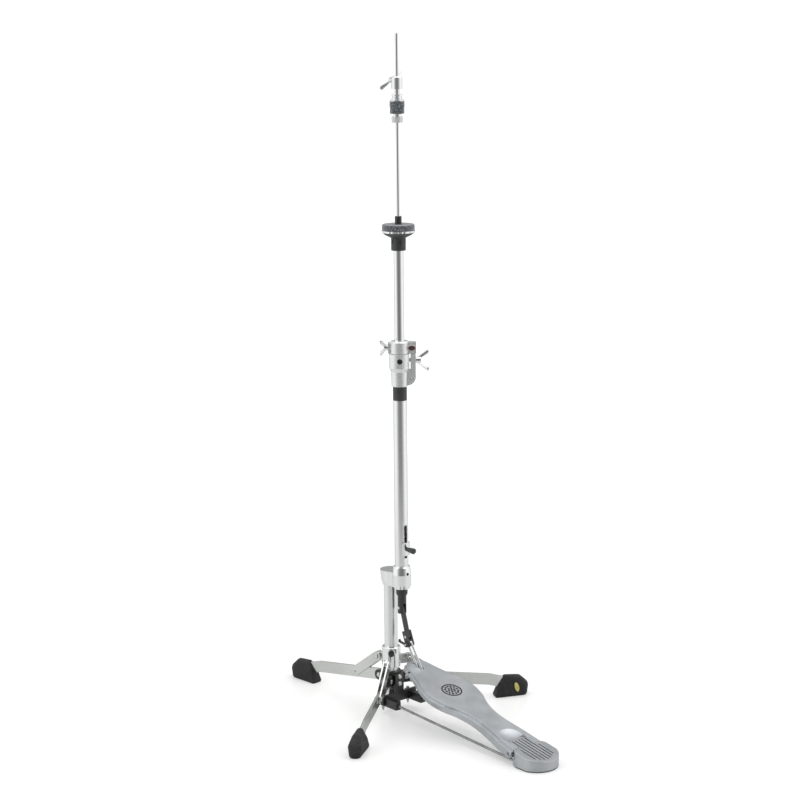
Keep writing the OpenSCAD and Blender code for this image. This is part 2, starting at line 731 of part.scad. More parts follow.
module at_rods(extra) {
    for (s = [-1, 1]) translate([s * rail_x, ROD_HEEL[0], ROD_HEEL[1]]) rotate([rod_fall, 0, 0])
        rotate([-90, 0, 0])
        translate([0, 0, -extra])
            cylinder(r = radius_rod_r + (extra > 0 ? snug : 0), h = rod_len + 2 * extra);
}

module base_frame() {
    color(BLACK) difference() {
        union() {
            translate([-9, frame_y, frame_low_z]) cube([18, frame_t, hub_low_z + 24 - frame_low_z]);
            translate([-36, frame_y, frame_low_z]) cube([72, frame_t, 16]);
            for (s = [-1, 1]) {
                translate([s * rail_x - 5, -20, frame_low_z - 2]) cube([10, 40, 14]);
                translate([s * rail_x, 19, frame_low_z - 2]) cylinder(r = 5.5, h = 14);
            }
        }
        at_rods(1);
        for (s = [-1, 1]) {
            translate([s * rail_x, 19, 0]) cylinder(r = 3 + snug, h = 60);
            translate([s * rail_x, -13, frame_low_z + 8]) cylinder(r = 2 + snug, h = 20);
        }
        for (z = [hub_low_z + 7, hub_low_z + 19]) translate([0, frame_y, z]) bar_y(2 + snug, 20);
    }
}

module frame_screws() {
    color(STEEL) for (z = [hub_low_z + 7, hub_low_z + 19]) translate([0, frame_y, z]) {
        rotate([-90, 0, 0]) cylinder(r = 2, h = 9.2);
        rotate([90, 0, 0]) cylinder(r1 = 4, r2 = 3, h = 2);
    }
}

module spurs() {
    color(STEEL) for (s = [-1, 1]) translate([s * rail_x, 19, 4]) {
        cylinder(r1 = 0.4, r2 = 3, h = 7);
        translate([0, 0, 7]) cylinder(r = 3, h = 22);
    }
}

module radius_rods() {
    color(STEEL) at_rods(0);
}

// ---------- pedal ----------

// Cast body under the deck, with its ledges standing out past the deck's edge
module board_ledges() {
    intersection() {
        translate([0, 0, -20]) linear_extrude(20 + deck_z - deck_t) board_outline(ledge_w);
        rotate([90, 0, 90]) translate([0, 0, -60]) linear_extrude(120) polygon([
            [-5.5, deck_z], [-5.5, 0], [0, -hinge_boss_r], [30, -5.5],
            [100, -3.5], [225, 0], [board_end + 1, 1.5], [board_end + 1, deck_z]]);
    }
}

module board_hollow() {
    intersection() {
        translate([0, 0, -30]) linear_extrude(33.5) board_outline(-1.5);
        translate([-60, 16, -40]) cube([120, 210, 80]);
    }
}

module tongue_notch() {
    half = tongue_w / 2 + 0.7;
    translate([0, 0, -30]) linear_extrude(80) {
        translate([-half, -20]) square([2 * half, 34.5]);
        translate([5 - half, 10]) square([2 * half - 10, 9.5]);
        for (s = [-1, 1]) translate([s * (half - 5), 14.5]) circle(r = 5);
    }
}

// Shallow dish in the deck just ahead of the heel plate's tongue
module tongue_dish() {
    dish_r = 62;
    dish_depth = 3.3;
    translate([-4, 26, deck_z - dish_depth + dish_r]) sphere(r = dish_r);
}

module toe_slot() {
    translate([0, 0, -20]) linear_extrude(60) {
        translate([-3.7, 247.4]) square([7.4, 16.4]);
        for (y = [247.4, 263.8]) translate([0, y]) circle(r = 3.7);
    }
}

module footboard() {
    color(CAST) in_board() difference() {
        union() {
            board_ledges();
            translate([0, 0, deck_z - deck_t]) linear_extrude(deck_t) board_outline(0);
            bar_x(hinge_boss_r, 61);
        }
        board_hollow();
        tongue_notch();
        toe_slot();
        tongue_dish();
        translate([-8, TOE_PIN[0], TOE_PIN[1]]) bar_x(pin_r + snug, 44);
        bar_x(hinge_pin_r + run, 100);
    }
}

module toe_pin() {
    color(STEEL) in_board() translate([-1, TOE_PIN[0], TOE_PIN[1]]) bar_x(pin_r, 28);
}

module hinge_pin() {
    color(STEEL) translate([0, -hinge_back, hinge_z]) bar_x(hinge_pin_r, 60);
}

module heel_outline(inset) {
    intersection() {
        translate([-heel_w / 2 + inset, -heel_len + inset])
            square([heel_w - 2 * inset, heel_len - 2 * inset]);
        translate([0, heel_round_r - heel_len]) circle(r = heel_round_r - inset);
    }
}

// Everything under the heel plate's sloping top, lowered by drop
module under_slope(drop) {
    translate([0, 0, heel_front_z - drop]) rotate([heel_slope, 0, 0]) translate([-60, -100, -80])
        cube([120, 200, 80]);
}

module heel_plate() {
    tongue_r = 5;
    half = tongue_w / 2;
    color(CAST) translate([0, heel_front_y, 0]) difference() {
        union() {
            difference() {
                intersection() {
                    translate([0, 0, pad_t]) linear_extrude(60) heel_outline(0);
                    under_slope(0);
                }
                intersection() {
                    translate([0, 0, -1]) linear_extrude(60) heel_outline(heel_wall);
                    under_slope(4.5);
                }
            }
            difference() {
                intersection() {
                    union() {
                        translate([-half, -3, 0]) cube([tongue_w, tongue_len - tongue_r + 3, 60]);
                        translate([-half + tongue_r, 0, 0]) cube([tongue_w - 2 * tongue_r, tongue_len, 60]);
                        for (s = [-1, 1])
                            translate([s * (half - tongue_r), tongue_len - tongue_r, 0])
                            cylinder(r = tongue_r, h = 60);
                    }
                    under_slope(0);
                }
                difference() {
                    under_slope(6);
                    translate([0, 9.5, hinge_z]) bar_x(7, 100);
                    translate([-60, -3.2, hinge_z - 5]) cube([120, 12.7, 20]);
                }
            }
            for (s = [-1, 1]) translate([s * rail_x - 5, -12, 1.9]) cube([10, 11, 10]);
        }
        for (i = [-3 : 3]) translate([0, 0, heel_front_z]) rotate([heel_slope, 0, 0]) {
            front = abs(i) < 3 ? tongue_len - 4 : -4;
            back = -heel_len + 7 + i * i;
            translate([i * groove_pitch - groove_w / 2, back, -groove_depth])
                cube([groove_w, front - back, 10]);
        }
        translate([0, 9.5, hinge_z]) bar_x(hinge_pin_r + snug, 100);
        translate([0, -heel_front_y, 0]) at_rods(0.5);
    }
}

module heel_pad() {
    color(RUBBER) translate([0, heel_front_y, 0]) linear_extrude(pad_t) heel_outline(0.6);
}

// ---------- pull linkage ----------

module rod_yoke() {
    yoke_top_z = casting_z - 2;
    color(BLACK) difference() {
        union() {
            translate([0, 0, yoke_top_z - 7.5]) cylinder(r = 9.5, h = 7.5);
            translate([0, 0, yoke_top_z - 12]) cylinder(r1 = 7.2, r2 = 9.2, h = 4.5);
            translate([0, 0, UPPER_PIN[1] - 9.5]) cylinder(r = 7.2, h = yoke_top_z - UPPER_PIN[1]);
        }
        translate([0, 0, rod_bottom_z - 0.2]) cylinder(r = lower_rod_r + snug, h = 40);
        translate([-link_t / 2 - gap, -20, UPPER_PIN[1] - 30]) cube([link_t + 2 * gap, 40, 37]);
        translate([0, 0, UPPER_PIN[1]]) bar_x(link_pin_r + snug, 40);
    }
}

module upper_link_pin() {
    color(STEEL) translate([0, 0, UPPER_PIN[1]]) bar_x(link_pin_r, 15.4);
}

link_lean = atan2(LOWER_PIN[0] - UPPER_PIN[0], UPPER_PIN[1] - LOWER_PIN[1]);
link_len = norm(LOWER_PIN - UPPER_PIN);

module link_bar() {
    color(BLACK) at_pin(UPPER_PIN, link_lean) difference() {
        union() {
            for (z = [0, -link_len]) translate([0, 0, z]) bar_x(4.3, link_t);
            translate([-link_t / 2, -3.6, -link_len]) cube([link_t, 7.2, link_len]);
        }
        for (z = [0, -link_len]) translate([0, 0, z]) bar_x(link_pin_r + run, 20);
    }
}

module lower_yoke() {
    color(BLACK) at_pin(LOWER_PIN, yoke_lean) difference() {
        union() {
            translate([0, 0, -loop_pin_drop]) block([12, 9.4, loop_pin_drop + 10]);
            translate([0, 0, -loop_pin_drop]) bar_x(4.7, 12);
        }
        translate([-link_t / 2 - gap, -20, -4.8]) cube([link_t + 2 * gap, 40, 40]);
        translate([-loop_wire_r - gap, -20, -60]) cube([2 * (loop_wire_r + gap), 40, 54.2]);
        bar_x(link_pin_r + snug, 40);
        translate([0, 0, -loop_pin_drop]) bar_x(pin_r + snug, 40);
    }
}

module lower_yoke_pins() {
    color(STEEL) at_pin(LOWER_PIN, yoke_lean) union() {
        bar_x(link_pin_r, 12);
        translate([-1.75, 0, -loop_pin_drop]) bar_x(pin_r, 16.5);
    }
}

module latch_lever() {
    color(BLACK) translate([-6.4, LOOP_PIN[0], LOOP_PIN[1]]) rotate([8, 0, 0]) difference() {
        union() {
            translate([-1.5, 0, 0]) bar_x(4, 3);
            translate([-3, 0, -1.6]) cube([3, 17, 3]);
            translate([-3, 15.6, -1.6]) cube([3, 2.4, 5]);
        }
        bar_x(pin_r + run, 20);
    }
}

loop_lean = atan2(TOE[0] - LOOP_PIN[0], LOOP_PIN[1] - TOE[1]);
loop_seat = 0.1;
loop_len = norm(TOE - LOOP_PIN) - 2 * loop_seat;

module pull_loop() {
    color(CHROME) at_pin(LOOP_PIN, loop_lean) translate([0, 0, -loop_seat]) union() {
        for (s = [-1, 1]) translate([0, s * loop_r, -loop_len]) cylinder(r = loop_wire_r, h = loop_len);
        rotate([90, 0, 90]) rotate_extrude(angle = 180) translate([loop_r, 0]) circle(r = loop_wire_r);
        translate([0, 0, -loop_len]) rotate([-90, 0, 90]) rotate_extrude(angle = 180)
            translate([loop_r, 0]) circle(r = loop_wire_r);
    }
}

pull_rod();
lower_pull_rod();
spring_collar();
rod_yoke();
upper_link_pin();
clutch_body();
clutch_wing_screw();
clutch_lock_nut();
clutch_washer();
clutch_felt_upper();
clutch_felt_lower();
clutch_bottom_nut();
upper_tube();
seat_cup();
seat_washer();
seat_felt();
seat_stem();
memory_lock_ring();
memory_lock_wing_screw();
height_clamp();
clamp_bolt();
clamp_wing_nut();
tube_bushing();
set_screws();
lower_tube();
rod_guide_bush();
return_spring();
spring_seat_block();
spring_saddle();
adjuster_knob();
offset_casting();
leg_tube();
leg_hub();
hub_rivets();
leg_collar();
collar_rivets();
collar_screw();
leg_back();
leg_left();
leg_right();
foot_back();
foot_left();
foot_right();
strut_back();
strut_left();
strut_right();
base_frame();
frame_screws();
spurs();
radius_rods();
footboard();
toe_pin();
hinge_pin();
heel_plate();
heel_pad();
link_bar();
lower_yoke();
lower_yoke_pins();
latch_lever();
pull_loop();
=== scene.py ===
import json
import math

import bmesh
import bpy
from mathutils import Matrix, Vector, noise
from mathutils.bvhtree import BVHTree


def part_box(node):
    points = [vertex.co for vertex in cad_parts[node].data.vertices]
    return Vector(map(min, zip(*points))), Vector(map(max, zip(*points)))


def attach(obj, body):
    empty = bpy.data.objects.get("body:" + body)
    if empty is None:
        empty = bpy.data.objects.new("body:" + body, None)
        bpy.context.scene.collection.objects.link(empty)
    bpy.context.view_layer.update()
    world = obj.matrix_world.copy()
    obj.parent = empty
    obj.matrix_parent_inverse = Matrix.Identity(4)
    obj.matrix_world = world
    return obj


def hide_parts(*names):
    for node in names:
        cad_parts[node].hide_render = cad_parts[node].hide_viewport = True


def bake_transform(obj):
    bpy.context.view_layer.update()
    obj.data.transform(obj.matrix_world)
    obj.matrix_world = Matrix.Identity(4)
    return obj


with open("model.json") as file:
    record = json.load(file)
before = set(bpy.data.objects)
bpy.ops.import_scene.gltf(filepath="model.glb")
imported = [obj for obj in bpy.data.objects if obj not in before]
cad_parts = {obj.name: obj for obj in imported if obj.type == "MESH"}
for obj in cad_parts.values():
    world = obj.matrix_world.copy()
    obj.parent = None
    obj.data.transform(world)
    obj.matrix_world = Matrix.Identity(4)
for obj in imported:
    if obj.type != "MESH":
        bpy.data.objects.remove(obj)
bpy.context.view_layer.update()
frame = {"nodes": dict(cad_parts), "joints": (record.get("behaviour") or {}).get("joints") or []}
nodes = frame["nodes"]
MM = 0.001


def place_object(name, data):
    """Adds an object that holds this data to the scene."""
    made = bpy.data.objects.new(name, data)
    bpy.context.scene.collection.objects.link(made)
    return made


# ---------- camera, at the photograph's angle ----------

CAMERA_AZIMUTH = math.radians(-40.624)
CAMERA_DISTANCE = 3.2005
CAMERA_HEIGHT = 1.1845
CAMERA_PITCH = math.radians(11.597)
CAMERA_ROLL = math.radians(-0.568)
CAMERA_LENS = 91.54
CAMERA_SENSOR = 36
CAMERA_CLIP = 100


def add_camera():
    sine, cosine = math.sin(CAMERA_AZIMUTH), math.cos(CAMERA_AZIMUTH)
    right = Vector((cosine, sine, 0))
    level = Vector((-sine, cosine, 0))
    forward = level * math.cos(CAMERA_PITCH) - Vector((0, 0, math.sin(CAMERA_PITCH)))
    up = right.cross(forward)
    turned_right = right * math.cos(CAMERA_ROLL) + up * math.sin(CAMERA_ROLL)
    turned_up = up * math.cos(CAMERA_ROLL) - right * math.sin(CAMERA_ROLL)
    data = bpy.data.cameras.new("camera")
    data.sensor_width = CAMERA_SENSOR
    data.lens = CAMERA_LENS
    data.clip_end = CAMERA_CLIP
    matrix = Matrix((turned_right, turned_up, -forward)).transposed().to_4x4()
    matrix.translation = Vector((CAMERA_DISTANCE * sine, -CAMERA_DISTANCE * cosine, CAMERA_HEIGHT))
    camera = place_object("camera", data)
    camera.matrix_world = matrix
    bpy.context.scene.camera = camera


add_camera()


# ---------- materials ----------

EVEN = (1, 1, 1)
ALONG_TUBE = (1, 1, 0.04)


def gray(level, tint=0.0):
    """A neutral tone, made cooler by a positive tint."""
    return (level * (1 - tint), level, level * (1 + tint))


class Shading:
    """Adds nodes to one node tree and links them."""

    def __init__(self, tree):
        self.tree = tree

    def node(self, kind, **values):
        made = self.tree.nodes.new(kind)
        for name, value in values.items():
            setattr(made, name, value)
        return made

    def link(self, output, socket):
        self.tree.links.new(output, socket)

    def compute(self, operation, *values):
        """Result of a Math node whose values are numbers or other nodes' outputs."""
        made = self.node("ShaderNodeMath", operation=operation)
        for socket, value in zip(made.inputs, values):
            if isinstance(value, (int, float)):
                socket.default_value = value
            else:
                self.link(value, socket)
        return made.outputs["Value"]

    def ramp(self, source, stops):
        """Colour looked up in (position, colour) stops."""
        made = self.node("ShaderNodeValToRGB")
        elements = made.color_ramp.elements
        while len(elements) < len(stops):
            elements.new(0.5)
        for element, (position, color) in zip(elements, stops):
            element.position = position
            element.color = (*color, 1)
        self.link(source, made.inputs["Fac"])
        return made.outputs["Color"]

    def camera_sees(self):
        """1 where the camera looks straight at the surface, 0 in reflections and bounced light."""
        return self.node("ShaderNodeLightPath").outputs["Is Camera Ray"]


class Look(Shading):
    """A Principled material whose detail comes from noise in the object's own space."""

    def __init__(self, name, color, metallic=0.0, roughness=0.5):
        self.material = bpy.data.materials.new(name)
        self.material.use_nodes = True
        self.material.diffuse_color = (*color, 1)
        super().__init__(self.material.node_tree)
        self.shader = self.tree.nodes["Principled BSDF"]
        self.set(Base_Color=(*color, 1), Metallic=metallic, Roughness=roughness)
        self.place = self.node("ShaderNodeTexCoord").outputs["Object"]
        self.normal = None

    def set(self, **values):
        for name, value in values.items():
            self.shader.inputs[name.replace("_", " ")].default_value = value

    def noise(self, scale, detail, stretch):
        mapping = self.node("ShaderNodeMapping")
        mapping.inputs["Scale"].default_value = stretch
        self.link(self.place, mapping.inputs["Vector"])
        texture = self.node("ShaderNodeTexNoise")
        texture.inputs["Scale"].default_value = scale
        texture.inputs["Detail"].default_value = detail
        self.link(mapping.outputs["Vector"], texture.inputs["Vector"])
        return texture.outputs["Fac"]

    def between(self, source, low, high, start=0.3, end=0.7):
        """Source, taken from the range start to end to the range low to high."""
        scaled = self.node("ShaderNodeMapRange")
        for name, value in (("From Min", start), ("From Max", end), ("To Min", low), ("To Max", high)):
            scaled.inputs[name].default_value = value
        self.link(source, scaled.inputs["Value"])
        return scaled.outputs["Result"]

    def vary_color(self, scale, stops, detail=5, stretch=EVEN):
        cloudy = self.noise(scale, detail, stretch)
        self.link(self.ramp(cloudy, stops), self.shader.inputs["Base Color"])

    def vary_roughness(self, scale, low, high, stretch=EVEN):
        cloudy = self.noise(scale, detail=5, stretch=stretch)
        self.link(self.between(cloudy, low, high), self.shader.inputs["Roughness"])

    def round_edges(self, radius):
        bevel = self.node("ShaderNodeBevel", samples=4)
        bevel.inputs["Radius"].default_value = radius
        self.chain_normal(bevel.outputs["Normal"])

    def bump(self, scale, strength, distance, detail=3, stretch=EVEN):
        bump = self.node("ShaderNodeBump")
        bump.inputs["Strength"].default_value = strength
        bump.inputs["Distance"].default_value = distance
        self.link(self.noise(scale, detail, stretch), bump.inputs["Height"])
        if self.normal is not None:
            self.link(self.normal, bump.inputs["Normal"])
        self.chain_normal(bump.outputs["Normal"])

    def chain_normal(self, output):
        self.normal = output
        self.link(output, self.shader.inputs["Normal"])


def chrome_look(name, smooth, rough, stretch=EVEN, metallic=1.0):
    """Chrome, from mirror bright to softly satin, with faint marks that a stretch draws out."""
    look = Look(name, gray(0.84, 0.01), metallic=metallic)
    look.vary_color(scale=9, stops=[(0.3, gray(0.80, 0.012)), (0.7, gray(0.88, 0.005))], stretch=stretch)
    look.vary_roughness(scale=60, low=smooth, high=rough, stretch=stretch)
    look.round_edges(0.45 * MM)
    look.bump(scale=240, strength=0.10, distance=0.02 * MM, stretch=stretch)
    return look


def plated_look(name, level):
    """Zinc-plated steel: duller than chrome, with fine rolling marks and faint cloudy patches."""
    look = Look(name, gray(level), metallic=1.0)
    look.vary_color(scale=35, stops=[(0.3, gray(level - 0.10, 0.01)), (0.52, gray(level)),
                                     (0.72, gray(level + 0.05, -0.03))])
    look.vary_roughness(scale=160, low=0.22, high=0.38)
    look.round_edges(0.3 * MM)
    look.bump(scale=900, strength=0.25, distance=0.03 * MM)
    return look


def cast_look():
    """Satin cast aluminium: fine blasted grain over slow cloudy tone changes."""
    look = Look("satin_cast_aluminium", gray(0.54, 0.04), metallic=0.85)
    look.vary_color(scale=26, stops=[(0.28, gray(0.47, 0.05)), (0.5, gray(0.54, 0.045)),
                                     (0.74, gray(0.62, 0.035))], detail=7)
    look.vary_roughness(scale=70, low=0.33, high=0.45)
    look.round_edges(2.0 * MM)
    look.bump(scale=1500, strength=0.35, distance=0.05 * MM, detail=4)
    look.bump(scale=160, strength=0.12, distance=0.10 * MM, detail=2)
    return look


def leg_look():
    """Plated flat bar: bright, with a soft satin sheen."""
    look = Look("plated_flat_bar", gray(0.64), metallic=0.95)
    look.vary_color(scale=14, stops=[(0.3, (0.58, 0.60, 0.575)), (0.7, (0.69, 0.705, 0.685))])
    look.vary_roughness(scale=120, low=0.16, high=0.28)
    look.round_edges(0.6 * MM)
    look.bump(scale=700, strength=0.15, distance=0.02 * MM)
    return look


def black_metal_look():
    """Black powder coat with a fine orange peel."""
    look = Look("black_powder_coat", gray(0.02))
    look.vary_color(scale=45, stops=[(0.3, gray(0.014)), (0.7, gray(0.028, 0.02))])
    look.vary_roughness(scale=220, low=0.30, high=0.46)
    look.round_edges(0.5 * MM)
    look.bump(scale=1100, strength=0.35, distance=0.06 * MM, detail=2)
    look.set(Coat_Weight=0.25, Coat_Roughness=0.25)
    return look


def plastic_look():
    """Charcoal moulded plastic with a fine grain."""
    look = Look("charcoal_plastic", gray(0.045, 0.04))
    look.vary_color(scale=60, stops=[(0.3, gray(0.036, 0.04)), (0.7, gray(0.055, 0.05))])
    look.vary_roughness(scale=300, low=0.42, high=0.56)
    look.round_edges(0.5 * MM)
    look.bump(scale=1800, strength=0.25, distance=0.04 * MM, detail=2)
    return look


def rubber_look():
    """Matt black rubber, dusty in places."""
    look = Look("matt_black_rubber", gray(0.022))
    look.vary_color(scale=50, stops=[(0.3, gray(0.016)), (0.55, gray(0.024)),
                                     (0.8, gray(0.036))], detail=6)
    look.vary_roughness(scale=150, low=0.62, high=0.85)
    look.round_edges(0.8 * MM)
    look.bump(scale=1300, strength=0.5, distance=0.08 * MM, detail=4)
    return look


def yellow_look():
    """Pale yellow rubber, a little scuffed."""
    look = Look("pale_yellow_rubber", (0.66, 0.58, 0.17))
    look.vary_color(scale=90, stops=[(0.3, (0.56, 0.48, 0.13)), (0.55, (0.68, 0.60, 0.18)),
                                     (0.8, (0.74, 0.68, 0.27))])
    look.vary_roughness(scale=150, low=0.48, high=0.66)
    look.bump(scale=1100, strength=0.25, distance=0.04 * MM)
    return look


def red_look():
    """Dark red enamel."""
    look = Look("dark_red_enamel", (0.30, 0.016, 0.014))
    look.vary_color(scale=200, stops=[(0.3, (0.24, 0.012, 0.012)), (0.7, (0.36, 0.02, 0.016))])
    look.vary_roughness(scale=300, low=0.18, high=0.30)
    look.bump(scale=700, strength=0.10, distance=0.02 * MM)
    return look


def felt_look():
    """Pressed wool: dark blue-grey with lighter and darker fibres."""
    look = Look("pressed_wool_felt", gray(0.10, 0.12), roughness=0.95)
    look.vary_color(scale=620, stops=[(0.34, gray(0.03, 0.15)), (0.47, gray(0.075, 0.14)),
                                      (0.56, gray(0.15, 0.10)), (0.68, gray(0.42, 0.05))], detail=8)
    look.bump(scale=2600, strength=0.8, distance=0.25 * MM, detail=6)
    look.bump(scale=420, strength=0.5, distance=0.4 * MM)
    look.set(Sheen_Weight=0.5, Sheen_Roughness=0.6, Specular_IOR_Level=0.2)
    return look


chrome = chrome_look("polished_chrome", 0.05, 0.11)
rod_chrome = chrome_look("polished_chrome_rod", 0.05, 0.11, ALONG_TUBE)
clamp_chrome = chrome_look("cast_chrome", 0.24, 0.32, metallic=0.62)
tube_chrome = chrome_look("drawn_chrome_tube", 0.22, 0.30, ALONG_TUBE)
plated = plated_look("zinc_plated_steel", 0.66)
# Painted shade: the radius rods get a darker copy of the plated steel look, standing in for the shade
# and dark reflections under the footboard.
rod_painted_shade = plated_look("plated_steel_painted_shade", 0.36)
cast = cast_look()
leg_bar = leg_look()
black_metal = black_metal_look()
plastic = plastic_look()
rubber = rubber_look()
yellow = yellow_look()
red = red_look()
felt = felt_look()

NODE_LOOKS = {
    rod_chrome: ["pull_rod", "upper_tube"],
    tube_chrome: ["lower_tube", "leg_tube"],
    clamp_chrome: ["height_clamp", "memory_lock_ring"],
    chrome: ["offset_casting", "clutch_body", "clutch_wing_screw", "clutch_lock_nut", "clutch_washer",
             "clutch_bottom_nut", "seat_washer", "memory_lock_wing_screw", "clamp_wing_nut",
             "spring_saddle", "leg_collar", "pull_loop"],
    # The radius rods take the darker steel copy, which is painted shade.
    rod_painted_shade: ["radius_rods"],
    plated: ["lower_pull_rod", "spring_collar", "upper_link_pin", "clamp_bolt", "return_spring",
             "hub_rivets", "collar_rivets", "frame_screws", "spurs", "toe_pin", "hinge_pin",
             "lower_yoke_pins"],
    leg_bar: ["leg_back", "leg_left", "leg_right", "strut_back", "strut_left", "strut_right"],
    cast: ["footboard", "heel_plate"],
    black_metal: ["set_screws", "spring_seat_block", "rod_yoke", "leg_hub", "collar_screw",
                  "base_frame", "link_bar", "lower_yoke", "latch_lever", "seat_stem"],
    plastic: ["seat_cup", "tube_bushing", "rod_guide_bush", "adjuster_knob"],
    rubber: ["foot_back", "foot_left", "foot_right", "heel_pad"],
}


def dress_nodes():
    for look, names in NODE_LOOKS.items():
        for name in names:
            nodes[name].data.materials.clear()
            nodes[name].data.materials.append(look.material)


dress_nodes()


# ---------- pieces ----------

def finish_mesh(name, mesh_data):
    """Mesh made of the bmesh data, which is freed."""
    mesh = bpy.data.meshes.new(name)
    mesh_data.to_mesh(mesh)
    mesh_data.free()
    return mesh


def dressed_object(name, mesh, look):
    """A smooth object of this mesh with this look."""
    mesh.materials.append(look.material)
    mesh.shade_smooth()
    return place_object(name, mesh)


def add_piece(name, mesh, look, body):
    """A piece that rides on one body."""
    piece = dressed_object(name, mesh, look)
    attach(piece, body)
    return piece


def round_angles(count):
    """Angles of evenly spaced points all the way round."""
    return [2 * math.pi * i / count for i in range(count)]


def join_rings(mesh_data, rings, closed):
    """Faces from ring to ring, then back to the first ring if closed, or else over both ends."""
    turns = len(rings[0])
    pairs = list(zip(rings, rings[1:])) + ([(rings[-1], rings[0])] if closed else [])
    for lower, upper in pairs:
        for i in range(turns):
            j = (i + 1) % turns
            mesh_data.faces.new((lower[i], lower[j], upper[j], upper[i]))
    if not closed:
        mesh_data.faces.new(rings[-1])
        mesh_data.faces.new(list(reversed(rings[0])))


# Felts: rings of pressed wool in the places of the CAD's plain ones
FELT_GAP = 0.05 * MM
FELT_TRIM = 0.3 * MM
FELT_CROWN = 0.2 * MM
FELT_CORNER = 1.0 * MM
CORNER_STEPS = 6
SIDE_STEPS = 8
FELT_TURNS = 144
FELT_FUZZ = 0.22 * MM
FINE_FUZZ = 900
BROAD_FUZZ = 170


def ring_radii(name):
    """Inner and outer radius of a CAD ring round the pull line."""
    reach = [math.hypot(v.co.x, v.co.y) for v in nodes[name].data.vertices]
    return min(reach), max(reach)


def rounded_ring(inner, outer, low, high, corner, crown):
    """Closed outline of a ring's section as (radius, height) points, with soft corners."""
    outline = []

    def arc(radius, height, start):
        for i in range(CORNER_STEPS + 1):
            angle = start + math.pi / 2 * i / CORNER_STEPS
            outline.append((radius + corner * math.cos(angle), height + corner * math.sin(angle)))

    def run(start, end, count, bulge=0.0):
        for i in range(1, count):
            t = i / count
            radius = start[0] + (end[0] - start[0]) * t + bulge * math.sin(math.pi * t)
            outline.append((radius, start[1] + (end[1] - start[1]) * t))

    arc(outer - corner, low + corner, -math.pi / 2)
    run((outer, low + corner), (outer, high - corner), SIDE_STEPS, crown)
    arc(outer - corner, high - corner, 0)
    run((outer - corner, high), (inner + corner, high), 2 * SIDE_STEPS)
    arc(inner + corner, high - corner, math.pi / 2)
    run((inner, high - corner), (inner, low + corner), SIDE_STEPS)
    arc(inner + corner, low + corner, math.pi)
    run((inner + corner, low), (outer - corner, low), 2 * SIDE_STEPS)
    return outline


def matted(point, seed):
    """The point, moved inward a little, as the fibres of pressed felt lie unevenly."""
    fine = noise.noise(point * FINE_FUZZ + Vector((seed, 0, 0)))
    broad = noise.noise(point * BROAD_FUZZ + Vector((0, seed, 0)))
    outward = Vector((point.x, point.y, 0)).normalized()
    return point - outward * FELT_FUZZ * (0.5 + 0.5 * fine + 0.5 * broad)


def felt_mesh(outline, seed):
    """The outline turned round the pull line, with its surface matted."""
    mesh_data = bmesh.new()
    rings = []
    for angle in round_angles(FELT_TURNS):
        spots = [Vector((radius * math.cos(angle), radius * math.sin(angle), height))
                 for radius, height in outline]
        rings.append([mesh_data.verts.new(matted(spot, seed)) for spot in spots])
    join_rings(mesh_data, rings, closed=True)
    bmesh.ops.recalc_face_normals(mesh_data, faces=mesh_data.faces)
    return finish_mesh("felt", mesh_data)


def add_felt(name, node, body, seed):
    low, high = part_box(node)
    inner, outer = ring_radii(node)
    outline = rounded_ring(inner + FELT_GAP, outer - FELT_TRIM, low.z + FELT_GAP, high.z - FELT_GAP,
                           FELT_CORNER, FELT_CROWN)
    piece = add_piece(name, felt_mesh(outline, seed), felt, body)
    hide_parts(node)


add_felt("felt_seat", "seat_felt", "mast", seed=3)
add_felt("felt_clutch_upper", "clutch_felt_upper", "clutch", seed=7)
add_felt("felt_clutch_lower", "clutch_felt_lower", "clutch", seed=11)


def joint_point(name):
    joint = next(j for j in frame["joints"] if j["name"] == name)
    return Vector(joint["pos_m"])


def sloped_frame(origin, slope):
    """Frame at origin whose Y axis climbs toward the toe at this slope."""
    return Matrix.Translation(origin) @ Matrix.Rotation(slope, 4, "X")


HEEL_HINGE = joint_point("pedal_tilt")

# Footboard: a rubber grip ring with dots inside it, in a frame at the heel hinge
BOARD_SLOPE = math.radians(14.3)
DECK_TOP = 10.5 * MM
GRIP_AT = 172.8 * MM
GRIP_HEIGHT = 0.7 * MM
GRIP_SINK = 0.3 * MM
GRIP_RING = (15.0 * MM, 17.2 * MM)
RING_BEVEL = 0.2
RING_SHOULDER = 0.6
RING_TURNS = 72
DOT_RADIUS = 1.9 * MM
DOT_TURNS = 20
# Rings of dots as (radius, number of dots), and a dot's dome as (share of radius, share of height)
DOT_RINGS = [(0, 1), (5.4 * MM, 6), (10.8 * MM, 12)]
DOT_DOME = [(1.0, 0.35), (0.93, 0.68), (0.76, 0.90), (0.45, 1.0)]


def turned_rings(mesh_data, place, centre, profile, turns):
    """Rings of vertices from (radius, height) points turned about the board's normal at centre."""
    rings = []
    for radius, height in profile:
        spots = [Vector((radius * math.cos(angle), radius * math.sin(angle), height)) + centre
                 for angle in round_angles(turns)]
        rings.append([mesh_data.verts.new(place @ spot) for spot in spots])
    return rings


